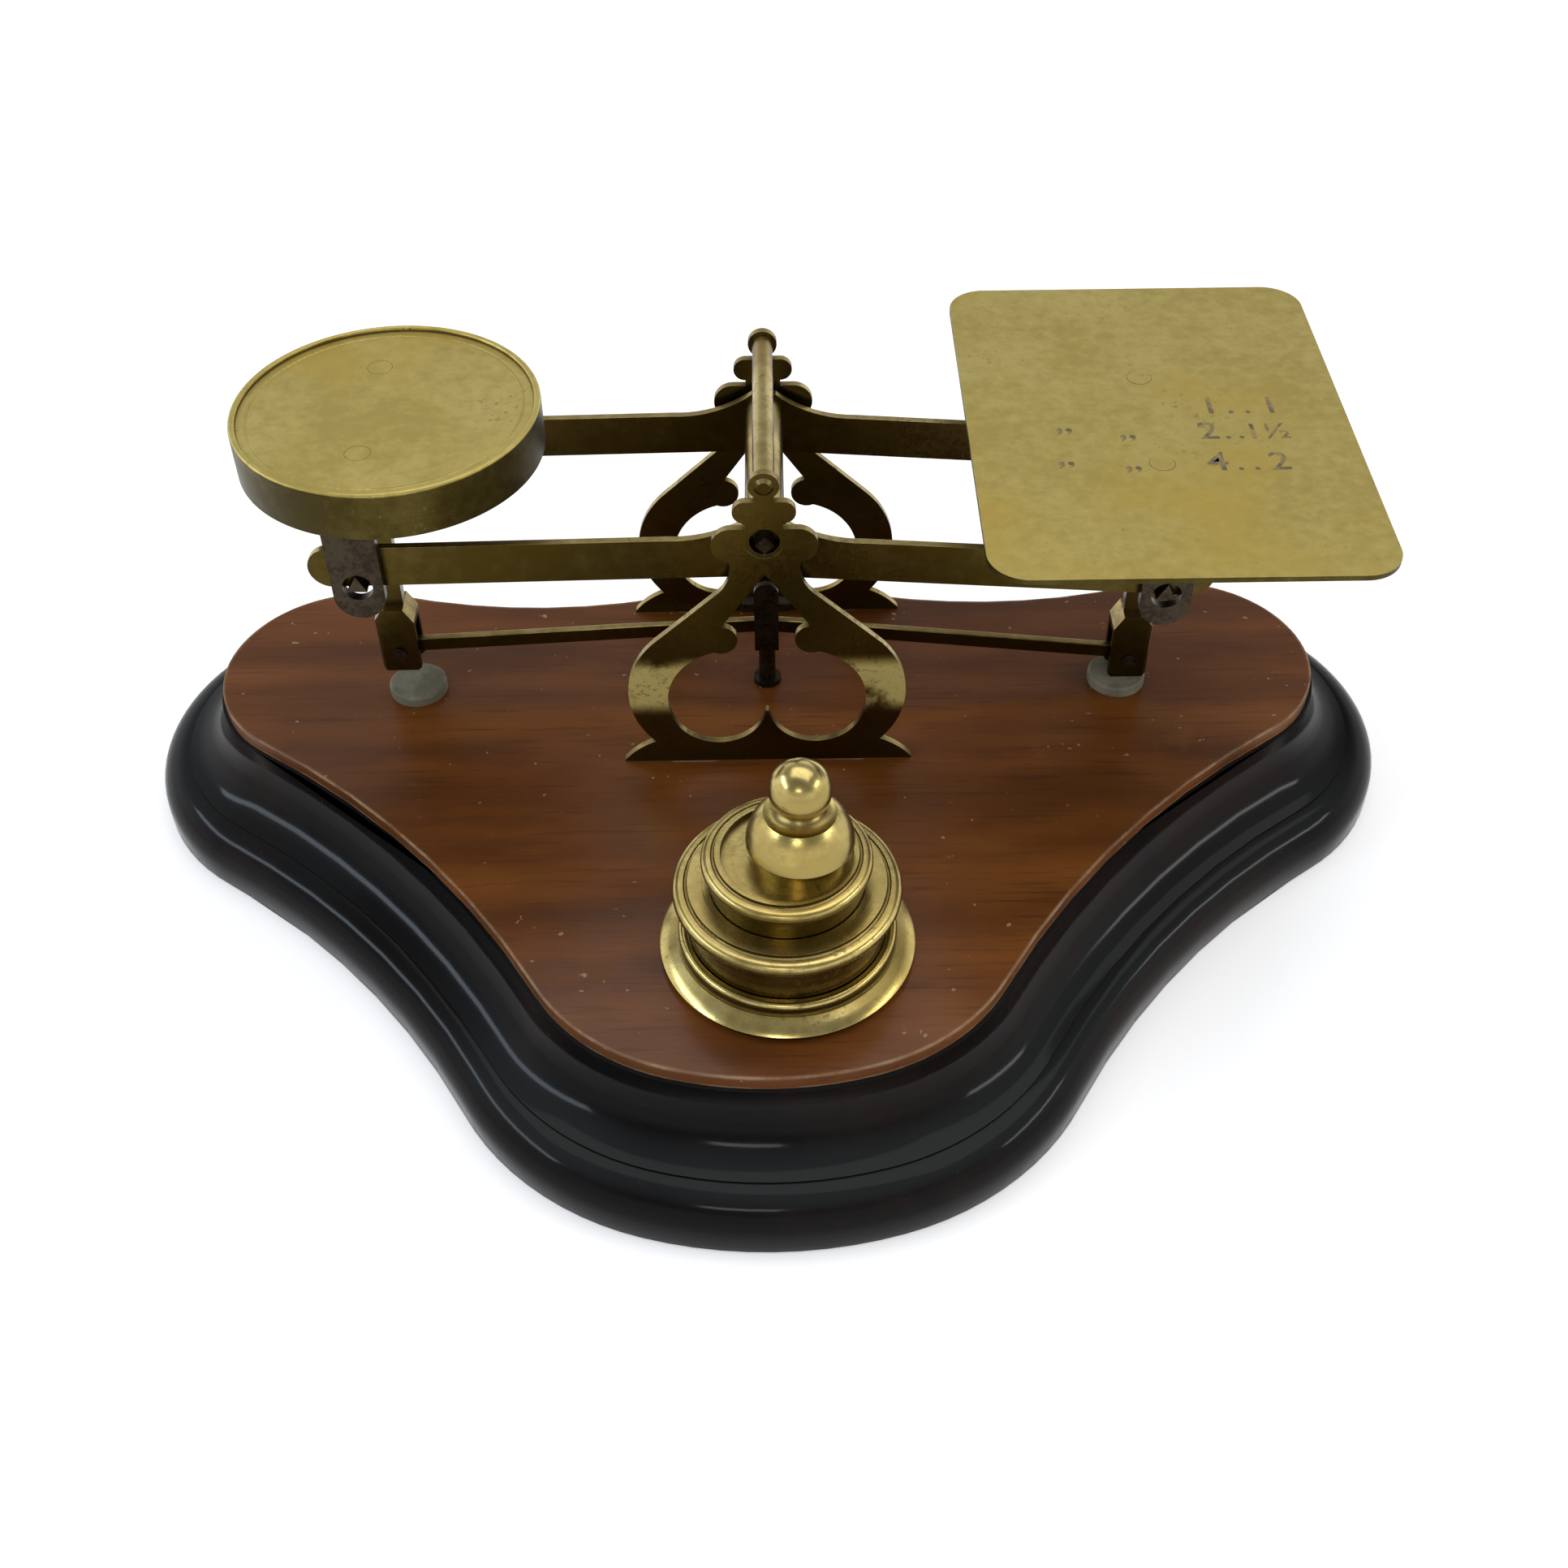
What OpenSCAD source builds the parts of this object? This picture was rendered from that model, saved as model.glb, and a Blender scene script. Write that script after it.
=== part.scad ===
// Letter balance on a three-lobed wooden base: two pierced lyre frames carry a twin-bar beam on
// steel knife edges; a stay under the beam keeps the weight pan and the letter plate level.
// Millimetres, +Z up, X along the beam, the weights' lobe towards -Y.
// The origin is under the middle of the base.

/* [Base] */
// how far the side lobes reach from the middle, on the top panel
lobe_x = 72.3; // [70:0.1:76]
// radius of the side lobes
lobe_r = 21.5; // [20:0.5:23]
// radius of the front lobe
front_r = 54.2; // [50:0.2:58]
// radius of the front lobe's shoulders
shoulder_r = 33.3; // [30:0.1:36]
// radius of the hollow between a side lobe and the front lobe
side_hollow_r = 161.5; // [140:0.5:190]
// radius of the hollows in the back edge
back_hollow_r = 91.3; // [80:0.1:110]
// height of the whole base
base_h = 22.6; // [20:0.1:26]
// how far the plinth stands out beyond the top panel
skirt_out = 13.9; // [13:0.1:16]
// thickness of the top panel's visible edge
panel_t = 2.4; // [2:0.1:3.5]

/* [Frames] */
// distance between the middles of the two frames
frame_gap = 38.7; // [38:0.1:41]
// thickness of a frame
frame_t = 1.2; // [1:0.1:1.6]
// half width of a frame at its widest
lyre_x = 22; // [21:0.1:24]
// radius of the hole the middle knife rests in
socket_r = 2.3; // [2:0.05:2.6]

/* [Beam] */
// distance from the middle knife edge to an end knife edge, along X
arm = 61.3; // [58:0.1:64]
// how far the end knife edges lie below the middle one
drop = 5.2; // [4.6:0.1:5.6]
// height of the middle knife edge above the panel
pivot_z = 41.7; // [41:0.1:43]
// resting slope of the beam, letter plate down
tilt = 1.7; // [1:0.1:1.9]
// thickness of a beam bar
bar_t = 1.2; // [1:0.1:1.6]

/* [Carriers] */
// height from an end knife edge to the underside of a pan
rise = 15.9; // [15:0.1:18]
// height of the stay's middle pivot above the panel
stay_z = 12.4; // [12.2:0.1:13]
// width of the flat stem
stem_w = 3.6; // [3:0.1:4.4]
// width of a steel bearing plate
bearing_w = 7.8; // [7:0.1:8.6]

/* [Pan and letter plate] */
// radius of the round pan
pan_r = 23.4; // [22.5:0.1:26]
// depth of the pan's skirt
pan_h = 7; // [5:0.1:8]
// how far the pan is set in from its knife edge
pan_in = 4.5; // [0:0.1:4.8]
// size of the letter plate along X
plate_x = 58.2; // [50:0.1:64]
// size of the letter plate along Y
plate_y = 78.4; // [66:0.1:78.4]
// thickness of the letter plate
plate_t = 0.9; // [0.7:0.1:1.4]
// how far the letter plate is set in from its knife edge
plate_in = 1; // [0:0.1:3]

/* [Weights] */
// radius of the foot of the lowest weight
weight_r = 18.9; // [18.4:0.1:20]
// how far the stack stands to the right of the middle
stack_x = 2.6; // [-3:0.1:3]
// how far the knob weight lies from the middle of its dish
knob_off = 1.9; // [0:0.1:1.9]

/* [Fits] */
// running clearance of a pin in its hole, on the radius
run_fit = 0.08; // [0.05:0.01:0.1]
// clearance under a knife edge
knife_fit = 0.05; // [0.03:0.01:0.08]
// clearance round a let-in piece
seat_fit = 0.02; // [0.01:0.01:0.05]

/* [Hidden] */
$fn = 96;
// how far a cutter runs past a face, and how far joined shapes lap
over = 1;
lap = 0.1;

// Plan of the base: tangent arcs between circles, y from the beam's middle plane.
front_y = -30.4;
front_half = 16.2;
lobe_y = 3.8;
back_r = 86.7;
back_y = -61.8;
cos_f = cos(front_half);
sin_f = sin(front_half);
front_c = [0, front_y];
shoulder_c = [(front_r - shoulder_r) * sin_f, front_y - (front_r - shoulder_r) * cos_f];
lobe_c = [lobe_x, lobe_y];
back_c = [0, back_y];

// the point at distance a from p and b from q, on the left of the way from p to q
function meet(p, a, q, b) =
    let (d = norm(q - p), u = (q - p) / d, s = (d * d + a * a - b * b) / (2 * d),
         h = sqrt(a * a - s * s))
    p + u * s + [-u[1], u[0]] * h;
function heading(c, t) = atan2(t[1] - c[1], t[0] - c[0]);

side_c = meet(lobe_c, lobe_r + side_hollow_r, shoulder_c, shoulder_r + side_hollow_r);
hollow_c = meet(back_c, back_r + back_hollow_r, lobe_c, lobe_r + back_hollow_r);
base_front = front_y - front_r - skirt_out;
base_back = max(back_y + back_r, lobe_y + lobe_r) + skirt_out;
mid_y = -(base_front + base_back) / 2;

// Levels and planes of the works, from the panel's top and the beam's middle plane.
ya = frame_gap / 2;
frame_in = ya - frame_t / 2;
bar_gap = 1.45;
bar_out = frame_in - bar_gap;
bar_in = bar_out - bar_t;
bearing_gap = 0.3;
bearing_in = bar_out + bearing_gap;
bearing_t = 1.6;
bearing_out = bearing_in + bearing_t;
hole_z = pivot_z + socket_r - knife_fit;
knife_w = 2.1;
end_w = 3;
end_h = 2.8;
hang = pivot_z - stay_z;
left_end = [-arm * cos(tilt) - drop * sin(tilt), arm * sin(tilt) - drop * cos(tilt)];
right_end = [arm * cos(tilt) - drop * sin(tilt), -arm * sin(tilt) - drop * cos(tilt)];
pin_r = 0.9;
strap_t = 2.2;
strap_in = 5.4;
strap_out = 4;
rivet_x = -2;
rivet_y = 11.7;
cheek_gap = 3.2;
cheek_t = 1;
cheek_low = 3.6;
cheek_w = 6.6;
slot_top = 5.4;
shoulder_z = 6.6;
stem_t = 2;
buffer_r = 4.85;
buffer_x = arm - 1.7;
buffer_y = -1;
buffer_fit = 0.03;
buffer_h = stay_z + right_end[1] - cheek_low - buffer_fit;
stack_back = 29.3;
stack_y = front_y - stack_back;

module works() {
    translate([0, mid_y, base_h]) children();
}
module wood() {
    color([0.05, 0.045, 0.045]) children();
}
module mahogany() {
    color([0.36, 0.15, 0.07]) children();
}
module brass() {
    color([0.72, 0.58, 0.30]) children();
}
module old_brass() {
    color([0.50, 0.42, 0.22]) children();
}
module steel() {
    color([0.42, 0.42, 0.44]) children();
}
module felt() {
    color([0.45, 0.46, 0.40]) children();
}

// The plan's tangent arcs, moved outwards by out.
function arc_points(c, r, from, to, n) =
    [for (i = [0:n - 1]) c + r * [cos(from + (to - from) * i / n), sin(from + (to - from) * i / n)]];
function right_side(out) = concat(
    arc_points(front_c, front_r + out, -90, -90 + front_half, 5),
    arc_points(shoulder_c, shoulder_r + out, -90 + front_half, heading(shoulder_c, side_c), 11),
    arc_points(side_c, side_hollow_r - out, heading(side_c, shoulder_c), heading(side_c, lobe_c), 7),
    arc_points(lobe_c, lobe_r + out, heading(lobe_c, side_c), heading(lobe_c, hollow_c), 36),
    arc_points(hollow_c, back_hollow_r - out, heading(hollow_c, lobe_c), heading(hollow_c, back_c), 7),
    arc_points(back_c, back_r + out, heading(back_c, hollow_c), 90, 5));
function plan(out) = let (half = right_side(out), n = len(half))
    concat([[0, half[0][1]]], [for (i = [1:n - 1]) half[i]], [[0, back_y + back_r + out]],
           [for (i = [n - 1:-1:1]) [-half[i][0], half[i][1]]]);
// Section of the moulding, a cove over a roll: how far out from the panel's edge, and the height
// from the panel's top.
roll_r = 5.5;
roll_z = 3.9;
roll_c = [skirt_out - roll_r, roll_z - base_h];
cove_r = 9;
cove_x = 1.2;
quirk = 0.25;
cove_c = roll_c + [cove_x, roll_r + cove_r + quirk];
neck_top = -asin(min(1, max(0, (cove_c[1] + panel_t) / cove_r)));
cove_low = 90 - asin((cove_c[0] - roll_c[0]) / cove_r);
cove_steps = 9;
roll_steps = 12;
heel = 0.6;
section = concat(
    [[cove_c[0] - cove_r * cos(neck_top), -panel_t]],
    [for (i = [1:cove_steps]) let (t = cove_low * i / cove_steps) cove_c - cove_r * [cos(t), sin(t)]],
    [for (i = [0:roll_steps - 1]) let (t = 90 - 90 * i / roll_steps) roll_c + roll_r * [cos(t), sin(t)]],
    [roll_c + [roll_r, 0], [skirt_out, heel - base_h],
     [skirt_out - 0.3 * heel, 0.3 * heel - base_h], [skirt_out - heel, -base_h]]);
module moulded(section) {
    n = len(plan(0));
    m = len(section);
    polyhedron(
        points = [for (q = section) for (v = plan(q[0])) [v[0], v[1], q[1]]],
        faces = concat([[for (i = [n - 1:-1:0]) i]],
            [for (j = [0:m - 2]) for (i = [0:n - 1])
                [j * n + i, j * n + (i + 1) % n, (j + 1) * n + (i + 1) % n, (j + 1) * n + i]],
            [[for (i = [0:n - 1]) (m - 1) * n + i]]));
}
module plinth() {
    wood() works() difference() {
        moulded(section);
        tang_slots();
    }
}
module panel() {
    mahogany() works() difference() {
        translate([0, 0, -panel_t]) linear_extrude(panel_t) polygon(plan(0));
        tang_slots();
    }
}
// The frames and the post are let into the base.
tang_w = 7;
tang_x = 12;
tang_h = 9;
post_r = 1.4;
module tang_slots() {
    for (x = [-tang_x, tang_x], y = [-ya, ya])
        translate([x - tang_w / 2 - seat_fit, y - frame_t / 2 - seat_fit, -tang_h - lap])
            cube([tang_w + 2 * seat_fit, frame_t + 2 * seat_fit, tang_h + lap + over]);
    translate([0, 0, -tang_h - lap]) cylinder(r = post_r + seat_fit, h = tang_h + lap + over);
}

// Lyre frames, half an outline each: x from the middle line, z from the panel.
rod_z = 54;
knob_r = 2.3;
knob_w = 1.5;
knob_z = 49.8;
leaf1_c = [2.8, 49.4];
leaf1_r = 1.9;
leaf1_z = 45.5;
leaf2_c = [4.9, 43.4];
leaf2_r = 3.1;
leaf2_z = 40;
waist = [6.3, 42];
waist_low = [7, 41];
neck_r = 6.5;
neck_c = [11.8, 39.2];
leg_r = 14.9;
leg_c = [lyre_x - leg_r, 14.3];
leg_z = 2;
sill_z = 5;
tip_x = lyre_x + 1.4;
foot_r = 12.5;
foot_in = 10;
foot_c = [tip_x - foot_in, -7.2];
// the heart-shaped piercing, a scroll curling into each side of it
lower_r = 7.6;
lower_c = [7.8, 11.6];
side_r = 10.3;
lean = [0.85, -0.527];
inner_c = lower_c - (side_r - lower_r) * lean;
cusp_z = 10.8;
shoulder_in = 23.6;
scroll_c = [7.1, 25.4];
scroll_r = 2.65;
throat = [6.6, 28.5];
throat_top = 38.1;
// the straight that touches the neck's hollow and the leg's bulge
neck_d = norm(leg_c - neck_c);
slope = heading(neck_c, leg_c) + asin((neck_r + leg_r) / neck_d);
across = [sin(slope), -cos(slope)];
module crown_half() {
    translate([0, rod_z]) circle(r = knob_r);
    translate([0, knob_z]) square([knob_w, rod_z - knob_z]);
    translate(leaf1_c) circle(r = leaf1_r);
    translate([0, leaf1_z]) square([leaf1_c[0], leaf1_c[1] + leaf1_r - leaf1_z]);
    translate(leaf2_c) circle(r = leaf2_r);
    translate([0, leaf2_z]) square([leaf2_c[0], leaf2_c[1] + leaf2_r - leaf2_z]);
}
module leg_half() {
    difference() {
        polygon([[0, waist[1]], waist, waist_low, neck_c + neck_r * across,
                 leg_c - leg_r * across, leg_c, [0, leg_c[1]]]);
        translate(neck_c) circle(r = neck_r);
    }
    intersection() {
        translate(leg_c) circle(r = leg_r);
        translate([0, leg_z]) square([2 * lyre_x, 2 * leg_r]);
    }
    square([leg_c[0] + leg_r * 0.6, leg_c[1]]);
    intersection() {
        translate(foot_c) circle(r = foot_r);
        square([tip_x, sill_z]);
    }
}
module heart_half() {
    difference() {
        union() {
            translate(lower_c) circle(r = lower_r);
            intersection() {
                translate(inner_c) circle(r = side_r);
                polygon([inner_c, inner_c + 2 * side_r * lean, [2 * lyre_x, 2 * leg_r],
                         [inner_c[0], 2 * leg_r]]);
            }
            polygon([[-lap, cusp_z], [inner_c[0], cusp_z], [inner_c[0], shoulder_in], scroll_c, throat,
                     [0, throat_top], [-lap, throat_top]]);
        }
        translate(scroll_c) circle(r = scroll_r);
    }
}
// the knife's hole has a shallow step in its outer face
step_w = 0.55;
step_d = 0.25;
rod_r = 1.6;
spigot_r = 1.1;
rivet_w = 0.4;
rivet_h = 0.5;
module frame(y) {
    old_brass() works() translate([0, y, 0]) difference() {
        union() {
            rotate([90, 0, 0]) translate([0, 0, -frame_t / 2]) linear_extrude(frame_t)
                for (m = [0, 1]) mirror([m, 0]) difference() {
                    union() {
                        crown_half();
                        leg_half();
                    }
                    heart_half();
                }
            for (x = [-tang_x, tang_x]) translate([x - tang_w / 2, -frame_t / 2, -tang_h])
                cube([tang_w, frame_t, tang_h + over]);
        }
        translate([0, 0, hole_z]) rotate([90, 0, 0])
            cylinder(r = socket_r, h = 2 * frame_t, center = true);
        translate([0, frame_t / 2 * sign(y), hole_z]) rotate([90, 0, 0])
            cylinder(r = socket_r + step_w, h = 2 * step_d, center = true);
        translate([0, 0, rod_z]) rotate([90, 0, 0])
            cylinder(r = spigot_r + seat_fit, h = 2 * frame_t, center = true);
    }
}
module frame_front() {
    frame(-ya);
}
module frame_rear() {
    frame(ya);
}
module tie_rod() {
    face = frame_in + frame_t + seat_fit;
    brass() works() translate([0, 0, rod_z]) rotate([90, 0, 0]) {
        cylinder(r = rod_r, h = 2 * (frame_in - seat_fit), center = true);
        cylinder(r = spigot_r, h = 2 * (face + lap), center = true);
        for (m = [0, 1]) mirror([0, 0, m]) translate([0, 0, face])
            cylinder(r1 = spigot_r + rivet_w, r2 = spigot_r - lap, h = rivet_h);
    }
}

// Steel post with its fork and cross bar, and the felt-faced buffers.
stay_h = 2.5;
stay_t = 1.2;
fork_in = stay_t / 2 + 0.25;
fork_t = 1;
fork_w = 4;
fork_low = stay_z - 4.4;
fork_top = stay_z + 7.6;
cross_w = 8;
cross_z = stay_z + 3.2;
cross_h = 1.6;
collar_r = 2.3;
collar_h = 1;
pin_head = 0.35;
pin_h = 0.35;
module post() {
    half = fork_in + fork_t;
    steel() works() difference() {
        union() {
            translate([0, 0, -tang_h]) cylinder(r = post_r, h = tang_h + fork_low + lap);
            cylinder(r = collar_r, h = collar_h);
            translate([-fork_w / 2, -half, fork_low]) cube([fork_w, 2 * half, 2 * fork_t]);
            for (m = [0, 1]) mirror([0, m, 0]) translate([0, half, 0])
                rotate([90, 0, 0]) linear_extrude(fork_t) {
                    translate([-fork_w / 2, fork_low]) square([fork_w, fork_top - fork_low]);
                    translate([0, fork_top]) circle(r = fork_w / 2);
                }
            translate([-cross_w / 2, -fork_in - lap, cross_z])
                cube([cross_w, 2 * (fork_in + lap), cross_h]);
        }
        translate([0, 0, stay_z]) rotate([90, 0, 0])
            cylinder(r = pin_r + seat_fit, h = 4 * half, center = true);
    }
}
// a pin across a fork whose outer faces are half from the middle, with a head at each end
module fork_pin(half) {
    rotate([90, 0, 0]) {
        cylinder(r = pin_r, h = 2 * (half + lap), center = true);
        for (m = [0, 1]) mirror([0, 0, m]) translate([0, 0, half + seat_fit])
            cylinder(r = pin_r + pin_head, h = pin_h);
    }
}
module post_pin() {
    steel() works() translate([0, 0, stay_z]) fork_pin(fork_in + fork_t);
}
buffer_edge = 0.35;
module buffer(x) {
    felt() works() translate([x, buffer_y, 0]) rotate_extrude()
        polygon([[0, 0], [buffer_r, 0], [buffer_r, buffer_h - buffer_edge],
                 [buffer_r - buffer_edge, buffer_h], [0, buffer_h]]);
}
module buffer_left() {
    buffer(-buffer_x);
}
module buffer_right() {
    buffer(buffer_x);
}

// Beam, drawn level about its middle knife edge, then tilted: each bar droops to its end and sweeps
// up to the hub.
bar_h = 7;
bar_low = -5.9;
droop = 2.5;
bar_end = 3.9;
sweep_x = 13.5;
sweep_r = 20;
// the sweep bites into the bar and the round end swells by this much, so that the outlines cross
bar_ease = 0.05;
hub_top = 4.8;
function low(x) = bar_low - x * tan(droop);
module tilted() {
    works() translate([0, 0, pivot_z]) rotate([0, tilt, 0]) children();
}
module bar_half() {
    n = [sin(droop), cos(droop)];
    tip = [arm + bar_end, low(arm + bar_end) + bar_h / 2 / n[1]];
    foot = [sweep_x, low(sweep_x) + bar_h / n[1]];
    difference() {
        union() {
            polygon([[0, low(0)], tip - bar_h / 2 * n, tip + bar_h / 2 * n, foot, [0, low(0) + bar_h]]);
            translate(tip) circle(r = bar_h / 2 + bar_ease);
            polygon([[0, low(0) + lap], foot - bar_h / 2 * n, foot, [foot[0], hub_top], [0, hub_top]]);
        }
        translate(foot + (sweep_r - bar_ease) * n) circle(r = sweep_r);
    }
}
module bar(y) {
    brass() tilted() difference() {
        translate([0, y + bar_t / 2, 0]) rotate([90, 0, 0]) linear_extrude(bar_t)
            for (m = [0, 1]) mirror([m, 0]) bar_half();
        arbor(2 * ya, seat_fit);
        for (x = [-arm, arm]) translate([x, 0, -drop]) end_knife(-2 * ya, 2 * ya, seat_fit);
    }
}
module beam_front() {
    bar(-(bar_in + bar_out) / 2);
}
module beam_rear() {
    bar((bar_in + bar_out) / 2);
}
// square steel with one edge down on the axis
module arbor(l, more) {
    rotate([0, -45, 0]) translate([-more, -l / 2, -more])
        cube([knife_w + 2 * more, l, knife_w + 2 * more]);
}
module end_knife(from, to, more) {
    translate([0, to, 0]) rotate([90, 0, 0]) linear_extrude(to - from)
        polygon([[0, 2 * more], [end_w / 2 + 1.6 * more, -end_h - more],
                 [-end_w / 2 - 1.6 * more, -end_h - more]]);
}
knife_short = 0.35;
sleeve_r = 3;
knife_out = 0.3;
module middle_knife() {
    steel() tilted() arbor(2 * (frame_in + frame_t - knife_short), 0);
}
module beam_sleeve() {
    brass() tilted() difference() {
        translate([0, 0, knife_w / sqrt(2)]) rotate([90, 0, 0])
            cylinder(r = sleeve_r, h = 2 * (bar_in - seat_fit), center = true);
        arbor(2 * ya, seat_fit);
    }
}
module end_knives() {
    steel() tilted() for (x = [-arm, arm], m = [0, 1]) translate([x, 0, -drop])
        mirror([0, m, 0]) end_knife(bar_in, bearing_out + knife_out, 0);
}

// Stay under the beam, its pivots the same triangle as the three knife edges.
stay_hub = 2;
stay_eye = 1.8;
module stay() {
    steel() works() translate([0, stay_t / 2, stay_z]) rotate([0, tilt, 0])
        rotate([90, 0, 0]) linear_extrude(stay_t) difference() {
            union() {
                circle(r = stay_hub);
                for (m = [0, 1]) mirror([m, 0]) {
                    rotate(-atan(drop / arm)) translate([0, -stay_h / 2])
                        square([norm([arm, drop]), stay_h]);
                    translate([arm, -drop]) circle(r = stay_eye);
                }
            }
            circle(r = pin_r + run_fit);
            for (x = [-arm, arm]) translate([x, -drop]) circle(r = pin_r + run_fit);
        }
}

// Carriers, drawn about the knife edge with X outwards: a yoke under the pan, its stem ending in a
// clevis for the stay, and two steel plates that hang on the knives.
module carried(side) {
    p = side > 0 ? right_end : left_end;
    works() translate([p[0], 0, pivot_z + p[1]]) rotate([0, 0, side > 0 ? 0 : 180]) children();
}
cheek_r = 1.2;
cheek_half = cheek_gap / 2 + cheek_t;
cheek_chamfer = 0.6;
shoulder_rise = 2.6;
module clevis_plan() {
    difference() {
        union() {
            translate([-cheek_w / 2, -cheek_half]) square([cheek_w - cheek_r, 2 * cheek_half]);
            translate([cheek_w / 2 - 2 * cheek_r, cheek_r - cheek_half])
                square([2 * cheek_r, 2 * (cheek_half - cheek_r)]);
            for (s = [-1, 1])
                translate([cheek_w / 2 - cheek_r, s * (cheek_half - cheek_r)]) circle(r = cheek_r);
        }
        translate([-cheek_w, -cheek_gap / 2]) square([cheek_w * 1.5 - cheek_t, cheek_gap]);
    }
}
module clevis_side() {
    polygon([[-cheek_w / 2, -cheek_low + cheek_chamfer], [-cheek_w / 2 + cheek_chamfer, -cheek_low],
             [cheek_w / 2 - cheek_chamfer, -cheek_low], [cheek_w / 2, -cheek_low + cheek_chamfer],
             [cheek_w / 2, shoulder_z], [stem_w / 2, shoulder_z + shoulder_rise],
             [-stem_w / 2, shoulder_z + shoulder_rise], [-cheek_w / 2, shoulder_z]]);
}
module clevis() {
    tall = cheek_low + shoulder_z + shoulder_rise + 2 * over;
    difference() {
        intersection() {
            translate([0, 2 * cheek_half, 0]) rotate([90, 0, 0])
                linear_extrude(4 * cheek_half) clevis_side();
            translate([0, 0, -cheek_low - over]) linear_extrude(tall) union() {
                clevis_plan();
                translate([-cheek_w / 2, -cheek_gap / 2 - lap])
                    square([cheek_w - cheek_t / 2, cheek_gap + 2 * lap]);
            }
        }
        translate([-cheek_w, -cheek_gap / 2, -cheek_low - over])
            cube([cheek_w * 1.5 - cheek_t, cheek_gap, cheek_low + over + slot_top]);
    }
}
rivet_r = 1.2;
module yoke() {
    difference() {
        union() {
            translate([-strap_in, -bearing_in + seat_fit, rise - strap_t])
                cube([strap_in + strap_out, 2 * (bearing_in - seat_fit), strap_t]);
            translate([-stem_w / 2, -stem_t / 2, -hang + slot_top + over])
                cube([stem_w, stem_t, hang - slot_top - over + rise - strap_t + lap]);
            translate([0, 0, -hang]) clevis();
        }
        for (y = [-rivet_y, rivet_y]) translate([rivet_x, y, rise - strap_t - over])
            cylinder(r = rivet_r + seat_fit, h = strap_t + 2 * over);
        translate([0, 0, -hang]) rotate([90, 0, 0])
            cylinder(r = pin_r + seat_fit, h = 4 * cheek_half, center = true);
    }
}
bearing_drop = 8;
screw_x = 2.2;
screw_r = 1;
screw_h = 0.45;
module bearings() {
    round_z = bearing_w / 2 - bearing_drop;
    for (m = [0, 1]) mirror([0, m, 0]) {
        translate([0, bearing_out, 0]) rotate([90, 0, 0]) linear_extrude(bearing_t) difference() {
            union() {
                translate([-bearing_w / 2, round_z]) square([bearing_w, rise - round_z]);
                translate([0, round_z]) circle(r = bearing_w / 2);
            }
            translate([0, knife_fit - socket_r]) circle(r = socket_r);
        }
        for (x = [-screw_x, screw_x]) translate([x, bearing_out - lap, rise - strap_t / 2])
            rotate([-90, 0, 0]) cylinder(r1 = screw_r, r2 = 0.8 * screw_r, h = screw_h);
    }
}
module carrier_pin() {
    translate([0, 0, -hang]) fork_pin(cheek_half);
}
rivet_head = 1.9;
rivet_foot = 0.6;
rivet_fit = 0.05;
module rivets(t) {
    for (y = [-rivet_y, rivet_y]) translate([rivet_x, y, 0]) {
        translate([0, 0, rise - strap_t - lap]) cylinder(r = rivet_r, h = strap_t + 2 * lap + t / 2);
        translate([0, 0, rise + seat_fit]) cylinder(r = rivet_head, h = t - seat_fit);
        translate([0, 0, rise - strap_t - rivet_foot])
            cylinder(r1 = rivet_r, r2 = rivet_head, h = rivet_foot - seat_fit);
    }
}
module rivet_holes(t) {
    for (y = [-rivet_y, rivet_y]) translate([rivet_x, y, rise - over])
        cylinder(r = rivet_head + rivet_fit, h = t + 2 * over);
}
module pan_yoke() {
    brass() carried(-1) yoke();
}
module pan_bearings() {
    steel() carried(-1) bearings();
}
module pan_pin() {
    steel() carried(-1) carrier_pin();
}
pan_t = 0.9;
bead_r = 0.55;
bead_z = pan_t + 0.1;
ring_x = 2.5;
ring_r = 0.22;
module pan() {
    brass() carried(-1) difference() {
        translate([-pan_in, 0, rise]) rotate_extrude() difference() {
            union() {
                square([pan_r, pan_t]);
                translate([pan_r - 2 * bead_r, 0]) square([2 * bead_r, bead_z]);
                translate([pan_r - bead_r, bead_z]) circle(r = bead_r);
                translate([pan_r - pan_t, pan_t - pan_h]) square([pan_t, pan_h]);
            }
            translate([pan_r - ring_x, bead_z]) circle(r = ring_r);
        }
        rivet_holes(pan_t);
    }
}
module pan_rivets() {
    brass() carried(-1) rivets(pan_t);
}
module plate_yoke() {
    brass() carried(1) yoke();
}
module plate_bearings() {
    steel() carried(1) bearings();
}
module plate_pin() {
    steel() carried(1) carrier_pin();
}
plate_corner = 6;
module letter_plate() {
    brass() carried(1) difference() {
        translate([-plate_in, 0, rise]) linear_extrude(plate_t) {
            square([plate_x, plate_y - 2 * plate_corner], center = true);
            square([plate_x - 2 * plate_corner, plate_y], center = true);
            for (x = [-1, 1], y = [-1, 1])
                translate([x * (plate_x / 2 - plate_corner), y * (plate_y / 2 - plate_corner)])
                    circle(r = plate_corner);
        }
        rivet_holes(plate_t);
    }
}
module plate_rivets() {
    brass() carried(1) rivets(plate_t);
}

// Weights, each one's foot in the dish of the one below. A dish is given by its radius and the
// level of its floor.
dish1_r = 14.7;
dish1_z = 4.1;
dish2_r = 11.45;
dish2_z = 13.4;
dish3_r = 9.5;
dish3_z = 18.7;
foot_play = 0.15;
lip_w = 1;
scribe_r = 0.3;
module turned() {
    brass() works() translate([stack_x, stack_y, 0]) rotate_extrude() children();
}
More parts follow.
